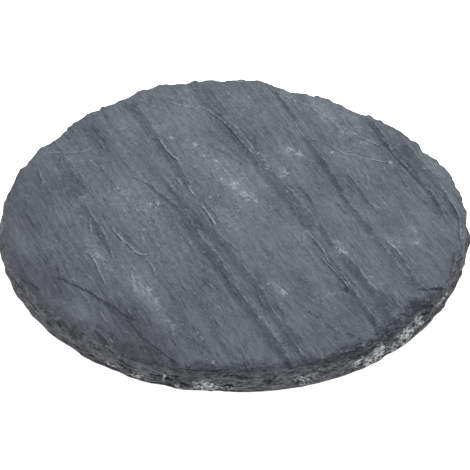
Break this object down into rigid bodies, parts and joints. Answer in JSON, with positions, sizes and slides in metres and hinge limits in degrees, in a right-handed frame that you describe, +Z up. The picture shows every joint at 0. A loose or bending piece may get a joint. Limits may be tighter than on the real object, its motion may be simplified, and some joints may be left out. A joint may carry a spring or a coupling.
{
  "type": "slate stepping stone",
  "caption": "Round slab of riven slate with a flat split face and a hand-knapped edge, laid flat on the ground as a garden stepping stone.",
  "frame": {"origin": "middle of the stone's bounding box, on the flat underside", "axes": "+Z up, out of the walked-on face; +X to the right and +Y away from the front side; the dark streaks of the face run at about -65 degrees from +X"},
  "size_m": [0.3014, 0.3028, 0.0207],
  "materials": {
    "slate": "riven matt slate, blue-grey with darker bands along the cleavage streaks, brown-black and rough where the rim is broken"
  },
  "bodies": {
    "root": {"slate_stone": "slate"}
  },
  "joints": []
}
